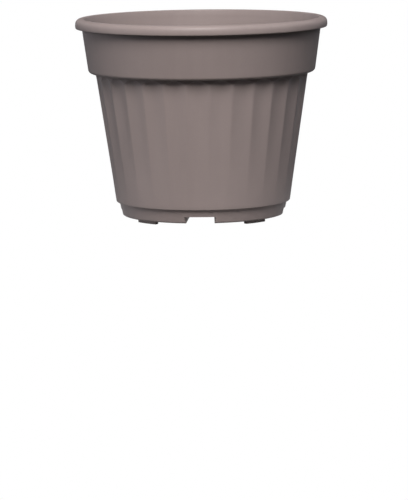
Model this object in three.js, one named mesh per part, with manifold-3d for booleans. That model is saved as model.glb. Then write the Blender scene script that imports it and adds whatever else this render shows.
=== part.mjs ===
// Empty injection-moulded plastic plant pot in millimetres, +Z up.
// The origin is on the pot's axis, in the plane on which the four feet stand.
// One drain channel opens to the front, which is -Y, and azimuths turn from there towards +X.
import * as THREE from "three";
import { ConvexGeometry } from "three/addons/geometries/ConvexGeometry.js";
import { mergeVertices } from "three/addons/utils/BufferGeometryUtils.js";
import Module from "manifold-3d";

// Driving dimensions
const HEIGHT = 151.1;
const RIM_RADIUS = 95;
const WALL = 1.6;

// Rim lip, a hollow hook with a rounded skirt that hangs outside the band
const LIP_HEIGHT = 7.25;
const LIP_ROUND = 4.9;
const SKIRT_INNER_RADIUS = 93.3;
const CREST_WIDTH = 1;
const MOUTH_RADIUS = 88;
const MOUTH_ROUND = 2.2;
const GROOVE_DEPTH = 4.5;

// Plain band under the lip
const BAND_BOTTOM = 110.2;
const BAND_BOTTOM_RADIUS = 85.4;
const BAND_SLOPE = 0.138;
const BAND_ROUND = 2.2;

// Fluted body
const BODY_BOTTOM = 12.7;
const BODY_BOTTOM_RADIUS = 65.8;
const BODY_SLOPE = 0.149;
const FLUTES = 29;
const FLUTE_DEPTH = 1.6;
const FLUTE_END = 19;
const FLUTE_ARCH_DROP = 4;
const FLUTE_ARCH_EASE = 3;
const RIDGE_SOFTNESS = 0.3;
const RIDGE_AZIMUTH = THREE.MathUtils.degToRad(6.2);

// Base ring, floor and feet
const FLOOR_BOTTOM = 2.2;
const FLOOR_THICKNESS = 1.8;
const RING_TOP_RADIUS = 63.6;
const RING_BOTTOM_RADIUS = 61.2;
const RING_ROUND = 1.8;
const FLOOR_ROUND = 2.5;
const FOOT_COUNT = 4;
const FOOT_OUTER_RADIUS = 58.5;
const FOOT_WIDTH = 3.5;
const FOOT_SPAN = THREE.MathUtils.degToRad(19.2);

// Drain channels, moulded up into the floor and open at the ring
const CHANNEL_COUNT = 4;
const CHANNEL_TOP = 7.2;
const CHANNEL_HALF_WIDTH = 10.4;
const CHANNEL_DRAFT = 0.05;
const CHANNEL_INNER_RADIUS = 20;
const CHANNEL_NARROWING = 1.3;
const MOUTH_FLARE = 1.5;
const MOUTH_FLARE_DEPTH = 3;
const DRAIN_HOLE_RADIUS = 3.5;
const DRAIN_HOLE_PLACES = [30, 47];
const GATE_RADIUS = 6;
const GATE_DEPTH = 0.5;

// Mesh fineness, with four columns to a flute
const COLUMNS_PER_FLUTE = 4;
const COLUMNS = FLUTES * COLUMNS_PER_FLUTE;
const ROUND_SIDES = 24;
const SINK = 0.8;
const PAST = 10;

const wasm = await Module();
wasm.setup();

function solidFrom(geometry) {
  const positions = geometry.clone();
  positions.deleteAttribute("normal");
  positions.deleteAttribute("uv");
  const merged = mergeVertices(positions, 1e-4);
  return new wasm.Manifold(
    new wasm.Mesh({
      numProp: 3,
      vertProperties: new Float32Array(merged.attributes.position.array),
      triVerts: new Uint32Array(merged.index.array),
    }),
  );
}

function geometryFrom(solid) {
  const mesh = solid.getMesh();
  const geometry = new THREE.BufferGeometry();
  geometry.setAttribute("position", new THREE.BufferAttribute(mesh.vertProperties, mesh.numProp));
  geometry.setIndex(new THREE.BufferAttribute(mesh.triVerts, 1));
  geometry.computeVertexNormals();
  return geometry;
}

// Outer radius of the band and of the body's ridges at a height
const bandRadius = (z) => BAND_BOTTOM_RADIUS + (z - BAND_BOTTOM) * BAND_SLOPE;
const bodyRadius = (z) => BODY_BOTTOM_RADIUS + (z - BODY_BOTTOM) * BODY_SLOPE;

// A flute is a shallow round scoop from one ridge, across -1, to the next, across 1, and it fades out downwards.
function fluteDepth(z, across) {
  const fade = THREE.MathUtils.clamp((z - FLUTE_END) / (BAND_BOTTOM - FLUTE_END), 0, 1);
  const scoop = Math.hypot(1 - across * across, RIDGE_SOFTNESS) - RIDGE_SOFTNESS;
  return (FLUTE_DEPTH * fade * scoop) / (Math.hypot(1, RIDGE_SOFTNESS) - RIDGE_SOFTNESS);
}

// A row gives the radius and height of the surface at each place across a flute.
const plainRow = (radius, z) => () => ({ radius, z });
const flutedRow = (z, inset) => (across) => ({ radius: bodyRadius(z) - inset - fluteDepth(z, across), z });

// Rows that follow the arched head of each flute, from its full depth, share 1, to the plain wall, share 0
const archRow = (share, inset) => (across) => {
  const z = BAND_BOTTOM - 0.4 - FLUTE_ARCH_DROP * across * across - FLUTE_ARCH_EASE * share * share;
  return { radius: bodyRadius(z) - inset - share * fluteDepth(z, across), z };
};

// Rows round a quarter circle about a centre, from one angle to another in degrees
function arcRows(centreRadius, centreZ, round, from, to, steps) {
  return Array.from({ length: steps + 1 }, (_, i) => {
    const angle = THREE.MathUtils.degToRad(from + ((to - from) * i) / steps);
    return plainRow(centreRadius + round * Math.cos(angle), centreZ + round * Math.sin(angle));
  });
}

// Closed solid between rows, which start and end on the axis and run round the section with its inside on the left
function revolve(rows) {
  const positions = [];
  const indices = [];
  const ringStart = [];
  const last = rows.length - 1;
  rows.forEach((row, r) => {
    ringStart.push(positions.length / 3);
    const onAxis = r === 0 || r === last;
    for (let c = 0; c < (onAxis ? 1 : COLUMNS); c++) {
      const across = (2 * (c % COLUMNS_PER_FLUTE)) / COLUMNS_PER_FLUTE - 1;
      const azimuth = RIDGE_AZIMUTH + (c / COLUMNS) * 2 * Math.PI;
      const { radius, z } = row(across);
      positions.push(radius * Math.sin(azimuth), -radius * Math.cos(azimuth), z);
    }
  });
  for (let r = 0; r < last; r++) {
    for (let c = 0; c < COLUMNS; c++) {
      const next = (c + 1) % COLUMNS;
      const lower = ringStart[r];
      const upper = ringStart[r + 1];
      if (r > 0) indices.push(lower + c, lower + next, r + 1 < last ? upper + next : upper);
      if (r + 1 < last) indices.push(r > 0 ? lower + c : lower, upper + next, upper + c);
    }
  }
  const geometry = new THREE.BufferGeometry();
  geometry.setAttribute("position", new THREE.Float32BufferAttribute(positions, 3));
  geometry.setIndex(indices);
  return solidFrom(geometry);
}

// Outside of the pot as if it were full, with the groove inside the lip's hook
function outerForm() {
  const lipBottom = HEIGHT - LIP_HEIGHT;
  const grooveTop = lipBottom + GROOVE_DEPTH;
  const tuck = THREE.MathUtils.radToDeg(Math.asin((LIP_HEIGHT - LIP_ROUND) / LIP_ROUND));
  const ringLean = Math.atan((RING_TOP_RADIUS - RING_BOTTOM_RADIUS) / (BODY_BOTTOM - FLOOR_BOTTOM));
  const ringCentre = RING_BOTTOM_RADIUS - RING_ROUND * (1 / Math.cos(ringLean) - Math.tan(ringLean));
  return revolve([
    plainRow(0, FLOOR_BOTTOM),
    ...arcRows(ringCentre, FLOOR_BOTTOM + RING_ROUND, RING_ROUND, -90, -THREE.MathUtils.radToDeg(ringLean), 3),
    plainRow(RING_TOP_RADIUS, BODY_BOTTOM),
    plainRow(BODY_BOTTOM_RADIUS, BODY_BOTTOM),
    flutedRow(FLUTE_END, 0),
    archRow(1, 0),
    archRow(0.6, 0),
    archRow(0, 0),
    plainRow(bodyRadius(BAND_BOTTOM), BAND_BOTTOM),
    ...arcRows(bandRadius(BAND_BOTTOM) - BAND_ROUND, BAND_BOTTOM + BAND_ROUND, BAND_ROUND, -90, 0, 3),
    plainRow(bandRadius(grooveTop), grooveTop),
    plainRow(SKIRT_INNER_RADIUS, grooveTop),
    plainRow(SKIRT_INNER_RADIUS, lipBottom),
    ...arcRows(RIM_RADIUS - LIP_ROUND, HEIGHT - LIP_ROUND, LIP_ROUND, -tuck, 0, 2),
    ...arcRows(RIM_RADIUS - LIP_ROUND, HEIGHT - LIP_ROUND, LIP_ROUND, 22.5, 90, 3),
    plainRow(0, HEIGHT),
  ]);
}

// Inside of the pot, which follows the outside a wall thickness in
function cavityForm() {
  const floorTop = FLOOR_BOTTOM + FLOOR_THICKNESS;
  const shoulder = BAND_BOTTOM + WALL + 0.4;
  const floorCorner = RING_BOTTOM_RADIUS - WALL - FLOOR_ROUND;
  const mouthBottom = HEIGHT - 2 * MOUTH_ROUND;
  return revolve([
    plainRow(0, floorTop),
    plainRow(floorCorner, floorTop),
    plainRow(floorCorner + FLOOR_ROUND * 0.7, floorTop + FLOOR_ROUND * 0.3),
    plainRow(floorCorner + FLOOR_ROUND, floorTop + FLOOR_ROUND),
    plainRow(RING_TOP_RADIUS - WALL, BODY_BOTTOM),
    plainRow(bodyRadius(BODY_BOTTOM + WALL) - WALL, BODY_BOTTOM + WALL),
    flutedRow(FLUTE_END, WALL),
    archRow(1, WALL),
    archRow(0, WALL),
    plainRow(bodyRadius(shoulder) - WALL, shoulder),
    plainRow(bandRadius(shoulder) - WALL - 0.8, shoulder),
    plainRow(bandRadius(shoulder + 1.2) - WALL, shoulder + 1.2),
    plainRow(MOUTH_RADIUS, mouthBottom),
    plainRow(MOUTH_RADIUS + MOUTH_ROUND * 0.35, HEIGHT - MOUTH_ROUND * 0.6),
    plainRow(RIM_RADIUS - LIP_ROUND - CREST_WIDTH, HEIGHT),
    plainRow(RIM_RADIUS - LIP_ROUND - CREST_WIDTH, HEIGHT + PAST),
    plainRow(0, HEIGHT + PAST),
  ]);
}

const aboutAxis = (solid, turns) => solid.rotate([0, 0, turns * 360]);

const fused = (solids) => solids.reduce((whole, solid) => whole.add(solid));

// Convex block under the floor from upright four-sided sections, each given by its place out along -Y and half widths
function blockAlongFront(sections, bottom, top) {
  const corners = [];
  for (const { radius, low, high } of sections) {
    for (const side of [-1, 1]) {
      corners.push(new THREE.Vector3(side * low, -radius, bottom), new THREE.Vector3(side * high, -radius, top));
    }
  }
  return solidFrom(new ConvexGeometry(corners));
}

// Long tapered channel, a little wider towards the ring and at its open lower side, or grown by a wall for its hood
function channelForm(grow, bottom) {
  const top = CHANNEL_TOP + grow;
  const sectionAt = (radius, half) => ({ radius, low: half + (top - bottom) * CHANNEL_DRAFT, high: half });
  const sections = [
    sectionAt(CHANNEL_INNER_RADIUS - grow, CHANNEL_HALF_WIDTH - CHANNEL_NARROWING + grow),
    sectionAt(RING_BOTTOM_RADIUS, CHANNEL_HALF_WIDTH + grow),
    sectionAt(RIM_RADIUS, CHANNEL_HALF_WIDTH + grow),
  ];
  return blockAlongFront(sections, bottom, top);
}

// Flared mouth of a channel where it passes through the ring
function mouthForm() {
  const sections = [-1, 1].map((side) => {
    const half = CHANNEL_HALF_WIDTH + (1 + side) * MOUTH_FLARE;
    return { radius: RING_BOTTOM_RADIUS + side * MOUTH_FLARE_DEPTH, low: half, high: half };
  });
  return blockAlongFront(sections, -PAST, CHANNEL_TOP);
}

function drainHole(radius) {
  const cutter = new THREE.CylinderGeometry(DRAIN_HOLE_RADIUS, DRAIN_HOLE_RADIUS, 2 * PAST, ROUND_SIDES);
  cutter.rotateX(Math.PI / 2);
  cutter.translate(0, -radius, CHANNEL_TOP);
  return solidFrom(cutter);
}

function gateRecess() {
  const cutter = new THREE.CylinderGeometry(GATE_RADIUS, GATE_RADIUS, 2 * GATE_DEPTH, ROUND_SIDES);
  cutter.rotateX(Math.PI / 2);
  cutter.translate(0, 0, FLOOR_BOTTOM);
  return solidFrom(cutter);
}

// Curved bar that stands proud of the underside, halfway between two channels
function foot() {
  const middle = Math.PI / FOOT_COUNT;
  const start = middle - FOOT_SPAN / 2;
  const end = middle + FOOT_SPAN / 2;
  const outline = new THREE.Shape();
  outline.absarc(0, 0, FOOT_OUTER_RADIUS, start, end, false);
  outline.absarc(0, 0, FOOT_OUTER_RADIUS - FOOT_WIDTH, end, start, true);
  const bar = new THREE.ExtrudeGeometry(outline, {
    depth: FLOOR_BOTTOM + SINK,
    bevelEnabled: false,
    curveSegments: 8,
  });
  return solidFrom(bar);
}

function potSolid() {
  const channelTurns = Array.from({ length: CHANNEL_COUNT }, (_, i) => i / CHANNEL_COUNT);
  const footTurns = Array.from({ length: FOOT_COUNT }, (_, i) => i / FOOT_COUNT);
  const hood = channelForm(WALL, FLOOR_BOTTOM + SINK);
  const channel = fused([channelForm(0, -PAST), mouthForm(), ...DRAIN_HOLE_PLACES.map(drainHole)]);
  const hoods = fused(channelTurns.map((turns) => aboutAxis(hood, turns)));
  const cuts = fused(channelTurns.map((turns) => aboutAxis(channel, turns)));
  const feet = fused(footTurns.map((turns) => aboutAxis(foot(), turns)));
  return outerForm()
    .subtract(cavityForm().subtract(hoods))
    .subtract(cuts)
    .subtract(gateRecess())
    .add(feet);
}

const taupePlastic = new THREE.MeshStandardMaterial({ color: 0x8b7b78, roughness: 0.5, metalness: 0 });
const pot = new THREE.Mesh(geometryFrom(potSolid()), taupePlastic);
pot.name = "pot";

const plantPot = new THREE.Group();
plantPot.add(pot);

export default plantPot;
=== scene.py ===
"""Empty taupe plastic plant pot, moulded in one piece, on a white floor in soft studio light.

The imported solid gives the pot's height and width. This script rebuilds its section at full fineness, with
fillets, smooth flutes and a slightly squarer lip, and gives it a satin finish as it leaves the mould.
Section sizes are in millimetres, as on a drawing. Meshes are in metres, +Z up, with -Y to the front.
"""

import math

import bmesh
import bpy
import numpy as np
from mathutils import Euler, Matrix, Vector


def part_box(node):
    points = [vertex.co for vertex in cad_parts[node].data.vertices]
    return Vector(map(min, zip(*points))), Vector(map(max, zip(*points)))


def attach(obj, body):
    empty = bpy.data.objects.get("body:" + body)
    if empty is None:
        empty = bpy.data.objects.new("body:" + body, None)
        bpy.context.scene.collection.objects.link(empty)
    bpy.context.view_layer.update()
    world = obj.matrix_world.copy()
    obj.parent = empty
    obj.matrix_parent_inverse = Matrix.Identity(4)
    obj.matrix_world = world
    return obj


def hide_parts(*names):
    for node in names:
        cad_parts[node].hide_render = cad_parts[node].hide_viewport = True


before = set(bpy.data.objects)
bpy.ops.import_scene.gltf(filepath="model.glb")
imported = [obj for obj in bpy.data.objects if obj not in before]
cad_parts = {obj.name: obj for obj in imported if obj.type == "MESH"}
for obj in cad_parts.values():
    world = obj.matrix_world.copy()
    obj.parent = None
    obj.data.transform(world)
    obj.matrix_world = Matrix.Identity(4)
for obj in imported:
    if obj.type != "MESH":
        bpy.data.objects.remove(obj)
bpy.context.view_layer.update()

MM = 0.001

# Overall size from the frame, and the moulded wall
LOW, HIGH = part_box("pot")
HEIGHT = (HIGH.z - LOW.z) / MM
RIM_RADIUS = (HIGH.y - LOW.y) / 2 / MM
WALL = 1.6

# Rim lip, a hollow hook with a rounded skirt that hangs outside the band
LIP_HEIGHT = 7.25
LIP_ROUND = 4.9
LIP_SQUARENESS = 2.5
LIP_LOWER_ROUND = 0.5
SKIRT_INNER_RADIUS = 93.3
SKIRT_INNER_ROUND = 0.25
GROOVE_DEPTH = 4.5
GROOVE_ROUND = 0.8
CREST_WIDTH = 1.0
CREST_EDGE_INSET = 0.5
CREST_ROUND = 1.0
CREST_CUT_REACH = 0.6
MOUTH_RADIUS = 88.0
MOUTH_DEPTH = 4.4
MOUTH_ROUND = 4.0

# Plain band under the lip
BAND_BOTTOM = 110.2
BAND_BOTTOM_RADIUS = 85.4
BAND_SLOPE = 0.138
BAND_ROUND = 2.8
BAND_UNDERSIDE_RISE = 0.05
BAND_UNDERSIDE_START = 0.3
INNER_BAND_ROUND = 1.2
INNER_SHOULDER_RISE = 0.4
INNER_SHOULDER_ROUND = 0.6

# Fluted body
BODY_BOTTOM = 12.7
BODY_BOTTOM_RADIUS = 65.8
BODY_SLOPE = 0.149
BODY_EDGE_ROUND = 0.5
FLUTES = 29
FLUTE_DEPTH = 1.6
FLUTE_END = 19.0
PLAIN_FOOT_TOP = FLUTE_END - 3
FLUTE_HEAD_GAP = 0.4
FLUTE_ARCH_DROP = 4.0
FLUTE_ARCH_EASE = 3.0
RIDGE_AZIMUTH = math.radians(6.2)
RIDGE_SOFTNESS = 0.3

# Base ring, floor and feet
FLOOR_BOTTOM = 2.2
FLOOR_THICKNESS = 1.8
RING_TOP_RADIUS = 63.6
RING_TOP_ROUND = 0.3
RING_BOTTOM_RADIUS = 61.2
RING_ROUND = 1.8
INNER_FLOOR_ROUND = 2.5
INNER_STEP_ROUND = 0.8
FOOT_COUNT = 4
FOOT_OUTER_RADIUS = 58.5
FOOT_WIDTH = 3.5
FOOT_SPAN = math.radians(19.2)
FOOT_STEPS = 16
FOOT_ROUND = 0.35

# Drain channels, moulded up into the floor and open at the ring
CHANNEL_COUNT = 4
CHANNEL_TOP = 7.2
CHANNEL_HALF_WIDTH = 10.4
CHANNEL_DRAFT = 0.05
CHANNEL_INNER_RADIUS = 20.0
CHANNEL_NARROWING = 1.3
MOUTH_FLARE = 1.5
MOUTH_FLARE_DEPTH = 3.0
CHANNEL_ROUND = 0.4
HOOD_ROUND = 1.6
DRAIN_HOLE_RADIUS = 3.5
DRAIN_HOLE_PLACES = (30.0, 47.0)
GATE_RADIUS = 6.0
GATE_DEPTH = 0.5

# Finish, with colours as display values, noise scales per metre and strengths of tone round 1
POT_COLOUR = (122, 110, 107)
ROUGHNESS = 0.42
ROUGHNESS_SPREAD = 0.04
ROUGHNESS_SCALE = 60.0
SPECULAR_LEVEL = 0.14
CLOUD_SCALE = 22.0
CLOUD_TONE = 0.03
SPECK_SCALE = 1500.0
SPECK_TONE = 0.025
STREAK_SCALE = 160.0
STREAK_STRETCH = 0.08
STREAK_TONE = 0.015
STREAK_RELIEF = 0.12
STREAK_HEIGHT = 0.0002
GRAIN_SCALE = 2600.0
GRAIN_RELIEF = 0.25
GRAIN_HEIGHT = 0.00005
SMOOTH_ANGLE = math.radians(32)

# Studio softboxes: name, azimuth and elevation in degrees, width and height in metres, watts, colour
WHITE = (1.0, 1.0, 1.0, 1.0)
NEUTRAL = (1.0, 1.0, 1.0)
COOL = (0.88, 0.98, 1.08)
SOFTBOXES = (
    ("key_softbox", 0, 46, 0.9, 0.9, 52.5, NEUTRAL),
    ("left_softbox", -72, 16, 1.1, 1.1, 4.0, COOL),
    ("low_left_softbox", -100, 10, 0.7, 0.6, 8.5, COOL),
    ("right_softbox", 72, 38, 1.1, 1.1, 6.5, COOL),
    ("back_left_softbox", -155, 14, 1.1, 0.8, 12.0, COOL),
    ("back_right_softbox", 145, 14, 1.1, 0.8, 12.0, COOL),
)
SOFTBOX_DISTANCE = 1.6
SOFTBOX_AIM = 0.55
GLOSSLESS_AZIMUTH = 100

# Studio floor, with reaches as distances in metres from the pot's axis
FLOOR_HALF = 12.0
BOUNCE_NEAR = 0.27
BOUNCE_FAR = 0.05
BOUNCE_REACH = (0.08, 0.2)
UNDERSIDE_GLOW = 0.5
GLOW_REACH = (0.05, 0.056)

# Camera, from the photograph's rim and base ellipses: distance from the axis, height over the crest and tilt
CAMERA_DISTANCE = 2.387
CAMERA_OVER_CREST = 0.1596
CAMERA_PITCH = math.radians(8.031)
CAMERA_ROLL = math.radians(-0.668)
CAMERA_AZIMUTH = math.radians(2.3)
FOCAL_PIXELS = 3166.8
IMAGE_WIDTH, IMAGE_HEIGHT = 408, 500
AXIS_COLUMN = 203.85
SENSOR = 36.0
CLIP_END = 50

# Mesh fineness
ACROSS_HALF = (-1.0, -0.965, -0.92, -0.84, -0.7, -0.5, -0.26)
ACROSS = (*ACROSS_HALF, 0.0, *[-a for a in reversed(ACROSS_HALF[1:])])
FLUTE_LEVELS = np.linspace(FLUTE_END - 2, BAND_BOTTOM - 12, 13)
ARCH_TURNS = (90, 75, 60, 45, 30, 18, 8, 0)
SPANDREL_SHARES = (0.35, 0.7)
FILLET_STEPS = 5
LIP_STEPS = 20
EDGE_STEPS = 4
FOOT_EDGE_STEPS = 3
HOLE_SIDES = 64
CORNER_ANGLE = math.radians(30)
LEVEL_TOLERANCE = 0.01

# How far parts sink into each other, and how far cutters reach past what they cut
SINK = 0.8
PAST = 10.0


def band_radius(z):
    return BAND_BOTTOM_RADIUS + (z - BAND_BOTTOM) * BAND_SLOPE


def body_radius(z):
    return BODY_BOTTOM_RADIUS + (z - BODY_BOTTOM) * BODY_SLOPE


def flute_depth(z, across):
    """Depth of a scoop from one ridge, across -1, to the next, across 1, which fades out downwards."""
    fade = min(max((z - FLUTE_END) / (BAND_BOTTOM - FLUTE_END), 0.0), 1.0)
    scoop = math.hypot(1 - across * across, RIDGE_SOFTNESS) - RIDGE_SOFTNESS
    return FLUTE_DEPTH * fade * scoop / (math.hypot(1, RIDGE_SOFTNESS) - RIDGE_SOFTNESS)


def plain(radius, z):
    """Row at one radius and height all round."""
    return lambda across: (radius, z)


def fluted(z, inset):
    """Row at one height through the flutes, an inset inside the outer wall."""
    return lambda across: (body_radius(z) - inset - flute_depth(z, across), z)


def flute_head(across):
    """Height of the top edge of a flute's arched head."""
    return BAND_BOTTOM - FLUTE_HEAD_GAP - FLUTE_ARCH_DROP * across * across


def arch(turn, inset):
    """Row on each flute's arched head, a quarter ellipse from the wall, turn 0, to full depth, turn 90."""
    share = math.sin(math.radians(turn))
    fall = FLUTE_ARCH_EASE * (1 - math.cos(math.radians(turn)))

    def row(across):
        z = flute_head(across) - fall
        return body_radius(z) - inset - share * flute_depth(z, across), z

    return row


def spandrel(share, inset):
    """Row on the plain wall between a flute's head, share 0, and the band, share 1."""

    def row(across):
        head = flute_head(across)
        z = head + (BAND_BOTTOM - head) * share
        return body_radius(z) - inset, z

    return row


def filleted(corners):
    """Plain rows along corners of (radius, z, fillet), each rounded to its fillet, apart from both ends."""
    points = [Vector(corner[:2]) for corner in corners]
    rows = [plain(*points[0])]
    for before, corner, after, (_, _, fillet) in zip(points, points[1:], points[2:], corners[1:]):
        into, out = (before - corner).normalized(), (after - corner).normalized()
        half = into.angle(out) / 2
        if fillet <= 0:
            rows.append(plain(*corner))
            continue
        centre = corner + (into + out).normalized() * fillet / math.sin(half)
        start = corner + into * fillet / math.tan(half) - centre
        end = corner + out * fillet / math.tan(half) - centre
        sweep = math.atan2(start.x * end.y - start.y * end.x, start.dot(end))
        for i in range(FILLET_STEPS + 1):
            turn = Matrix.Rotation(sweep * i / FILLET_STEPS, 2)
            rows.append(plain(*(centre + turn @ start)))
    rows.append(plain(*points[-1]))
    return rows


def lip_curve():
    """Points of (radius, z) up the outside of the lip, round a slightly squared arc to the crest."""
    fall = (LIP_HEIGHT - LIP_ROUND) / LIP_ROUND
    power = LIP_SQUARENESS
    tuck = math.atan2(fall, (1 - fall**power) ** (1 / power))
    points = []
    for turn in np.linspace(-tuck, math.pi / 2, LIP_STEPS + 1):
        across, up = math.cos(turn), math.sin(turn)
        reach = LIP_ROUND / (abs(across) ** power + abs(up) ** power) ** (1 / power)
        points.append((RIM_RADIUS - LIP_ROUND + reach * across, HEIGHT - LIP_ROUND + reach * up))
    return points


def flute_rows(inset):
    """Rows up the fluted wall, from the plain foot of the body to the underside of the band."""
    rows = [fluted(z, inset) for z in FLUTE_LEVELS]
    rows += [arch(turn, inset) for turn in ARCH_TURNS]
    rows += [spandrel(share, inset) for share in SPANDREL_SHARES]
    return rows


def new_object(name, data):
    obj = bpy.data.objects.new(name, data)
    bpy.context.scene.collection.objects.link(obj)
    return obj


def object_from(bm, name):
    """New object with the mesh that a bmesh holds, which is then freed."""
    mesh = bpy.data.meshes.new(name)
    bm.to_mesh(mesh)
    bm.free()
    return new_object(name, mesh)


def revolve(name, rows):
    """Closed mesh turned from rows round a section, from axis to axis, with its inside on their left."""
    columns = [
        (RIDGE_AZIMUTH + (flute + (across + 1) / 2) / FLUTES * 2 * math.pi, across)
        for flute in range(FLUTES)
        for across in ACROSS
    ]
    count = len(columns)
    verts, rings = [], []
    for row in rows:
        on_axis = row in (rows[0], rows[-1])
        rings.append((len(verts), on_axis))
        for azimuth, across in columns[: 1 if on_axis else count]:
            radius, z = row(across)
            verts.append((radius * math.sin(azimuth) * MM, -radius * math.cos(azimuth) * MM, z * MM))
    faces = []
    for (lower, low_tip), (upper, high_tip) in zip(rings, rings[1:]):
        for c in range(count):
            d = (c + 1) % count
            if low_tip:
                faces.append((lower, upper + d, upper + c))
            elif high_tip:
                faces.append((lower + c, lower + d, upper))
            else:
                faces.append((lower + c, lower + d, upper + d, upper + c))
    mesh = bpy.data.meshes.new(name)
    mesh.from_pydata(verts, [], faces)
    return new_object(name, mesh)


def outer_form():
    """Outside of the pot as if it were full, with the groove inside the lip's hook."""
    lip_bottom = HEIGHT - LIP_HEIGHT
    groove_top = lip_bottom + GROOVE_DEPTH
    wall_top = BAND_BOTTOM - BAND_UNDERSIDE_RISE
    lip = lip_curve()
    foot_of_body = filleted(
        [
            (0, FLOOR_BOTTOM, 0),
            (RING_BOTTOM_RADIUS, FLOOR_BOTTOM, RING_ROUND),
            (RING_TOP_RADIUS, BODY_BOTTOM, RING_TOP_ROUND),
            (BODY_BOTTOM_RADIUS, BODY_BOTTOM, BODY_EDGE_ROUND),
            (body_radius(PLAIN_FOOT_TOP), PLAIN_FOOT_TOP, 0),
        ]
    )
    head = filleted(
        [
            (body_radius(wall_top), wall_top, 0),
            (body_radius(BAND_BOTTOM) + BAND_UNDERSIDE_START, BAND_BOTTOM, 0),
            (band_radius(BAND_BOTTOM), BAND_BOTTOM, BAND_ROUND),
            (band_radius(groove_top), groove_top, GROOVE_ROUND),
            (SKIRT_INNER_RADIUS, groove_top, GROOVE_ROUND),
            (SKIRT_INNER_RADIUS, lip_bottom, SKIRT_INNER_ROUND),
            (*lip[0], LIP_LOWER_ROUND),
            *[(*point, 0) for point in lip[1:]],
            (0, HEIGHT, 0),
        ]
    )
    return revolve("outer_form", foot_of_body + flute_rows(0) + head)


def cavity_form():
    """Inside of the pot, which follows the outside a wall thickness in."""
    floor_top = FLOOR_BOTTOM + FLOOR_THICKNESS
    shoulder = BAND_BOTTOM + WALL + INNER_SHOULDER_RISE
    below_shoulder = shoulder - INNER_SHOULDER_ROUND
    body_edge = BODY_BOTTOM + WALL
    crest = RIM_RADIUS - LIP_ROUND - CREST_WIDTH
    foot_of_body = filleted(
        [
            (0, floor_top, 0),
            (RING_BOTTOM_RADIUS - WALL, floor_top, INNER_FLOOR_ROUND),
            (RING_TOP_RADIUS - WALL, BODY_BOTTOM, INNER_STEP_ROUND),
            (body_radius(body_edge) - WALL, body_edge, INNER_STEP_ROUND),
            (body_radius(PLAIN_FOOT_TOP) - WALL, PLAIN_FOOT_TOP, 0),
        ]
    )
    head = filleted(
        [
            (body_radius(below_shoulder) - WALL, below_shoulder, 0),
            (body_radius(shoulder) - WALL, shoulder, INNER_SHOULDER_ROUND),
            (band_radius(shoulder) - WALL, shoulder, INNER_BAND_ROUND),
            (MOUTH_RADIUS, HEIGHT - MOUTH_DEPTH, MOUTH_ROUND),
            (crest - CREST_EDGE_INSET, HEIGHT, CREST_ROUND),
            (crest + CREST_CUT_REACH, HEIGHT, 0),
            (crest + CREST_CUT_REACH, HEIGHT + PAST, 0),
            (0, HEIGHT + PAST, 0),
        ]
    )
    return revolve("cavity_form", foot_of_body + flute_rows(WALL) + head)


def prism(name, sections, top, edge_round):
    """Closed mesh between upright four-corner sections along -Y, with its long upper edges rounded."""
    bm = bmesh.new()
    rings = []
    for radius, outline in sections:
        rings.append([bm.verts.new((x * MM, -radius * MM, z * MM)) for x, z in outline])
    bm.faces.new(rings[0][::-1])
    bm.faces.new(rings[-1])
    for inner, outer in zip(rings, rings[1:]):
        for i in range(4):
            j = (i + 1) % 4
            bm.faces.new((inner[i], inner[j], outer[j], outer[i]))
    bmesh.ops.recalc_face_normals(bm, faces=bm.faces)
    level = (top - LEVEL_TOLERANCE) * MM
    upper = [e for e in bm.edges if min(v.co.z for v in e.verts) > level]
    rounded = [e for e in upper if e.calc_face_angle() > CORNER_ANGLE]
    offset = edge_round * MM
    bmesh.ops.bevel(
        bm, geom=rounded, offset=offset, segments=EDGE_STEPS, profile=0.5, affect="EDGES", clamp_overlap=True
    )
    return object_from(bm, name)


def channel_form(name, grow, bottom, edge_round):
    """Long tapered prism along -Y under the floor, a little wider towards the ring and at its open side."""
    top = CHANNEL_TOP + grow
    sections = []
    for radius, half in (
        (CHANNEL_INNER_RADIUS - grow, CHANNEL_HALF_WIDTH - CHANNEL_NARROWING + grow),
        (RING_BOTTOM_RADIUS, CHANNEL_HALF_WIDTH + grow),
        (RIM_RADIUS, CHANNEL_HALF_WIDTH + grow),
    ):
        low = half + (top - bottom) * CHANNEL_DRAFT
        sections.append((radius, [(-low, bottom), (low, bottom), (half, top), (-half, top)]))
    return prism(name, sections, top, edge_round)


def mouth_form(name):
    """Flared mouth of a channel where it passes through the ring."""
    sections = []
    for side in (-1, 1):
        half = CHANNEL_HALF_WIDTH + (1 + side) * MOUTH_FLARE
        outline = [(-half, -PAST), (half, -PAST), (half, CHANNEL_TOP), (-half, CHANNEL_TOP)]
        sections.append((RING_BOTTOM_RADIUS + side * MOUTH_FLARE_DEPTH, outline))
    return prism(name, sections, CHANNEL_TOP, CHANNEL_ROUND)


def disc(name, radius, place, low, high):
    """Upright cylinder that cuts a round hole or recess at a place in front of the axis."""
    bm = bmesh.new()
    bmesh.ops.create_cone(
        bm,
        cap_ends=True,
        segments=HOLE_SIDES,
        radius1=radius * MM,
        radius2=radius * MM,
        depth=(high - low) * MM,
        matrix=Matrix.Translation((0, -place * MM, (low + high) / 2 * MM)),
    )
    return object_from(bm, name)


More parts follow.
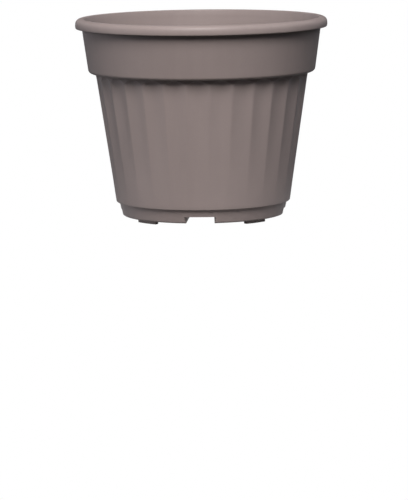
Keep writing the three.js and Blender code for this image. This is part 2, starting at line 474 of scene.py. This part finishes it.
def foot_form(name):
    """Curved bar with rounded edges that stands proud of the underside, halfway between two channels."""
    inner, outer = FOOT_OUTER_RADIUS - FOOT_WIDTH, FOOT_OUTER_RADIUS
    angles = [math.pi / FOOT_COUNT + FOOT_SPAN * (i / FOOT_STEPS - 0.5) for i in range(FOOT_STEPS + 1)]
    outline = [(outer, a) for a in angles] + [(inner, a) for a in reversed(angles)]
    bm = bmesh.new()
    base = [bm.verts.new((r * math.sin(a) * MM, -r * math.cos(a) * MM, 0)) for r, a in outline]
    bm.faces.new(base)
    made = bmesh.ops.extrude_face_region(bm, geom=bm.faces[:])
    tops = [v for v in made["geom"] if isinstance(v, bmesh.types.BMVert)]
    bmesh.ops.translate(bm, verts=tops, vec=(0, 0, (FLOOR_BOTTOM + SINK) * MM))
    bmesh.ops.recalc_face_normals(bm, faces=bm.faces)
    lower = [e for e in bm.edges if min(v.co.z for v in e.verts) < LEVEL_TOLERANCE * MM]
    rounded = [e for e in lower if e.calc_face_angle() > CORNER_ANGLE]
    offset = FOOT_ROUND * MM
    bmesh.ops.bevel(bm, geom=rounded, offset=offset, segments=FOOT_EDGE_STEPS, profile=0.5, affect="EDGES")
    return object_from(bm, name)


def turned(obj, turns):
    """The same object, with its mesh turned by a share of a full turn about the pot's axis."""
    obj.data.transform(Matrix.Rotation(turns * 2 * math.pi, 4, "Z"))
    return obj


def combine(target, others, operation):
    """Joins or cuts target with closed meshes, which are then removed."""
    for other in others:
        modifier = target.modifiers.new(operation.title(), "BOOLEAN")
        modifier.operation = operation
        modifier.solver = "MANIFOLD"
        modifier.object = other
    depsgraph = bpy.context.evaluated_depsgraph_get()
    result = bpy.data.meshes.new_from_object(target.evaluated_get(depsgraph))
    target.modifiers.clear()
    target.data = result
    for other in others:
        bpy.data.objects.remove(other)
    return target


def moulded_pot():
    """The whole pot as one closed mesh."""
    turns = [i / CHANNEL_COUNT for i in range(CHANNEL_COUNT)]
    hoods = [turned(channel_form("hood", WALL, FLOOR_BOTTOM + SINK, HOOD_ROUND), t) for t in turns]
    channels = [turned(channel_form("channel", 0, -PAST, CHANNEL_ROUND), t) for t in turns]
    mouths = [turned(mouth_form("channel_mouth"), t) for t in turns]
    holes = [
        turned(disc("drain_hole", DRAIN_HOLE_RADIUS, place, -PAST, CHANNEL_TOP + PAST), t)
        for place in DRAIN_HOLE_PLACES
        for t in turns
    ]
    gate = disc("gate_recess", GATE_RADIUS, 0, FLOOR_BOTTOM - GATE_DEPTH, FLOOR_BOTTOM + GATE_DEPTH)
    feet = [turned(foot_form("foot"), i / FOOT_COUNT) for i in range(FOOT_COUNT)]
    cavity = combine(cavity_form(), hoods, "DIFFERENCE")
    pot = combine(outer_form(), [cavity, *channels, *mouths, *holes, gate], "DIFFERENCE")
    combine(pot, feet, "UNION")
    pot.name = "moulded_pot"
    pot.data.name = "moulded_pot"
    return pot


def smooth_shading(mesh):
    mesh.polygons.foreach_set("use_smooth", [True] * len(mesh.polygons))
    mesh.set_sharp_from_angle(angle=SMOOTH_ANGLE)


class Material:
    """Small helper for node materials."""

    def __init__(self, name):
        self.material = bpy.data.materials.new(name)
        self.material.use_nodes = True
        self.nodes = self.material.node_tree.nodes
        self.nodes.clear()
        self.links = self.material.node_tree.links

    def add(self, kind, inputs=None, **settings):
        node = self.nodes.new(kind)
        for key, value in settings.items():
            setattr(node, key, value)
        for key, value in (inputs or {}).items():
            self.feed(node.inputs[key], value)
        return node

    def feed(self, socket, value):
        if isinstance(value, bpy.types.NodeSocket):
            self.links.new(value, socket)
        else:
            socket.default_value = value

    def noise(self, vector, scale, detail, roughness=0.5):
        settings = {"Vector": vector, "Scale": scale, "Detail": detail, "Roughness": roughness}
        return self.add("ShaderNodeTexNoise", settings).outputs["Fac"]

    def remap(self, value, low, high, to_low, to_high):
        settings = {"Value": value, "From Min": low, "From Max": high, "To Min": to_low, "To Max": to_high}
        return self.add("ShaderNodeMapRange", settings).outputs["Result"]

    def math(self, operation, a, b):
        return self.add("ShaderNodeMath", {0: a, 1: b}, operation=operation).outputs[0]

    def grey(self, tone):
        return self.add("ShaderNodeCombineColor", {0: tone, 1: tone, 2: tone}).outputs[0]

    def tinted(self, display_colour, tone):
        """Colour of display values made lighter or darker by a tone round 1."""
        settings = {"Factor": 1.0, "A": linear(*display_colour), "B": self.grey(tone)}
        mix = self.add("ShaderNodeMix", settings, data_type="RGBA", blend_type="MULTIPLY")
        return mix.outputs["Result"]

    def bump(self, height, strength, distance, normal=None):
        node = self.add("ShaderNodeBump", {"Height": height, "Strength": strength, "Distance": distance})
        if normal is not None:
            self.links.new(normal, node.inputs["Normal"])
        return node.outputs["Normal"]


def linear(r, g, b):
    """Linear colour from display values of 0 to 255."""

    def one(v):
        v /= 255
        return v / 12.92 if v <= 0.04045 else ((v + 0.055) / 1.055) ** 2.4

    return one(r), one(g), one(b), 1.0


def pot_plastic():
    """Satin taupe plastic with the mould's fine grain and faint clouds, specks and streaks of pigment."""
    m = Material("pot_plastic")
    place = m.add("ShaderNodeTexCoord").outputs["Object"]
    stretched = m.add("ShaderNodeMapping", {"Vector": place, "Scale": (1.0, 1.0, STREAK_STRETCH)})
    clouds = m.noise(place, CLOUD_SCALE, 3.0)
    specks = m.noise(place, SPECK_SCALE, 2.0)
    streaks = m.noise(stretched.outputs["Vector"], STREAK_SCALE, 3.0)
    tone = m.remap(clouds, 0.3, 0.7, 1 - CLOUD_TONE, 1 + CLOUD_TONE)
    tone = m.math("MULTIPLY", tone, m.remap(specks, 0.25, 0.75, 1 - SPECK_TONE, 1 + SPECK_TONE))
    tone = m.math("MULTIPLY", tone, m.remap(streaks, 0.3, 0.7, 1 - STREAK_TONE, 1 + STREAK_TONE))
    patches = m.noise(place, ROUGHNESS_SCALE, 3.0)
    roughness = m.remap(patches, 0.3, 0.7, ROUGHNESS - ROUGHNESS_SPREAD, ROUGHNESS + ROUGHNESS_SPREAD)
    normal = m.bump(m.noise(place, GRAIN_SCALE, 2.0), GRAIN_RELIEF, GRAIN_HEIGHT)
    normal = m.bump(streaks, STREAK_RELIEF, STREAK_HEIGHT, normal)
    surface = {
        "Base Color": m.tinted(POT_COLOUR, tone),
        "Roughness": roughness,
        "Normal": normal,
        "Specular IOR Level": SPECULAR_LEVEL,
    }
    shader = m.add("ShaderNodeBsdfPrincipled", surface).outputs["BSDF"]
    m.add("ShaderNodeOutputMaterial", {"Surface": shader})
    return m.material


def floor_material():
    """Floor that looks white, bounces light up near the pot, glows under its base and is clear from below."""
    m = Material("pale_floor")
    path = m.add("ShaderNodeLightPath").outputs["Is Camera Ray"]
    below = m.add("ShaderNodeNewGeometry").outputs["Backfacing"]
    seen = m.add("ShaderNodeEmission", {"Color": WHITE, "Strength": 1.0}).outputs[0]
    place = m.add("ShaderNodeTexCoord").outputs["Object"]
    reach = m.add("ShaderNodeVectorMath", {0: place}, operation="LENGTH").outputs["Value"]
    tone = m.remap(reach, *BOUNCE_REACH, BOUNCE_NEAR, BOUNCE_FAR)
    bounce = m.add("ShaderNodeBsdfDiffuse", {"Color": m.grey(tone)}).outputs[0]
    under = m.remap(reach, *GLOW_REACH, UNDERSIDE_GLOW, 0.0)
    glow = m.add("ShaderNodeEmission", {"Color": WHITE, "Strength": under}).outputs[0]
    unseen = m.add("ShaderNodeAddShader", {0: bounce, 1: glow}).outputs[0]
    upper = m.add("ShaderNodeMixShader", {0: path, 1: unseen, 2: seen}).outputs[0]
    clear = m.add("ShaderNodeBsdfTransparent").outputs[0]
    surface = m.add("ShaderNodeMixShader", {0: below, 1: upper, 2: clear}).outputs[0]
    m.add("ShaderNodeOutputMaterial", {"Surface": surface})
    return m.material


def make_floor():
    corners = [(x * FLOOR_HALF, y * FLOOR_HALF, 0) for x, y in ((-1, -1), (1, -1), (1, 1), (-1, 1))]
    mesh = bpy.data.meshes.new("studio_floor")
    mesh.from_pydata(corners, [], [(0, 1, 2, 3)])
    floor = new_object("studio_floor", mesh)
    mesh.materials.append(floor_material())


def make_world():
    """World that looks white and gives no light of its own."""
    world = bpy.data.worlds.new("studio")
    world.use_nodes = True
    nodes, links = world.node_tree.nodes, world.node_tree.links
    nodes.clear()
    path = nodes.new("ShaderNodeLightPath")
    dim = nodes.new("ShaderNodeBackground")
    dim.inputs["Strength"].default_value = 0.0
    white = nodes.new("ShaderNodeBackground")
    white.inputs["Color"].default_value = WHITE
    white.inputs["Strength"].default_value = 1.0
    mix = nodes.new("ShaderNodeMixShader")
    out = nodes.new("ShaderNodeOutputWorld")
    links.new(path.outputs["Is Camera Ray"], mix.inputs[0])
    links.new(dim.outputs[0], mix.inputs[1])
    links.new(white.outputs[0], mix.inputs[2])
    links.new(mix.outputs[0], out.inputs["Surface"])
    bpy.context.scene.world = world


def make_lights():
    """Rectangular area lights aimed at the middle of the pot. Those behind it leave no gloss."""
    target = Vector((0, 0, HEIGHT * MM * SOFTBOX_AIM))
    for name, azimuth, elevation, width, height, power, colour in SOFTBOXES:
        light = bpy.data.lights.new(name, "AREA")
        light.shape = "RECTANGLE"
        light.size, light.size_y = width, height
        light.energy = power
        light.color = colour
        obj = new_object(name, light)
        a, e = math.radians(azimuth), math.radians(elevation)
        direction = Vector((math.sin(a) * math.cos(e), -math.cos(a) * math.cos(e), math.sin(e)))
        obj.location = target + direction * SOFTBOX_DISTANCE
        obj.rotation_euler = direction.to_track_quat("Z", "Y").to_euler()
        obj.visible_camera = False
        obj.visible_glossy = abs(azimuth) < GLOSSLESS_AZIMUTH


def make_camera():
    camera = bpy.data.cameras.new("camera")
    camera.sensor_width = SENSOR
    camera.lens = FOCAL_PIXELS / IMAGE_HEIGHT * SENSOR
    camera.clip_end = CLIP_END
    obj = new_object("camera", camera)
    obj.location = (
        CAMERA_DISTANCE * math.sin(CAMERA_AZIMUTH),
        -CAMERA_DISTANCE * math.cos(CAMERA_AZIMUTH),
        HEIGHT * MM + CAMERA_OVER_CREST,
    )
    heading = CAMERA_AZIMUTH - (IMAGE_WIDTH / 2 - AXIS_COLUMN) / FOCAL_PIXELS
    tilt = Euler((math.pi / 2 - CAMERA_PITCH, 0, heading)).to_matrix()
    obj.rotation_euler = (tilt @ Matrix.Rotation(CAMERA_ROLL, 3, "Z")).to_euler()
    bpy.context.scene.camera = obj


make_camera()
make_world()
make_lights()
make_floor()
bpy.context.scene.view_settings.view_transform = "Standard"

pot = moulded_pot()
smooth_shading(pot.data)
pot.data.materials.clear()
pot.data.materials.append(pot_plastic())
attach(pot, "root")
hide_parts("pot")
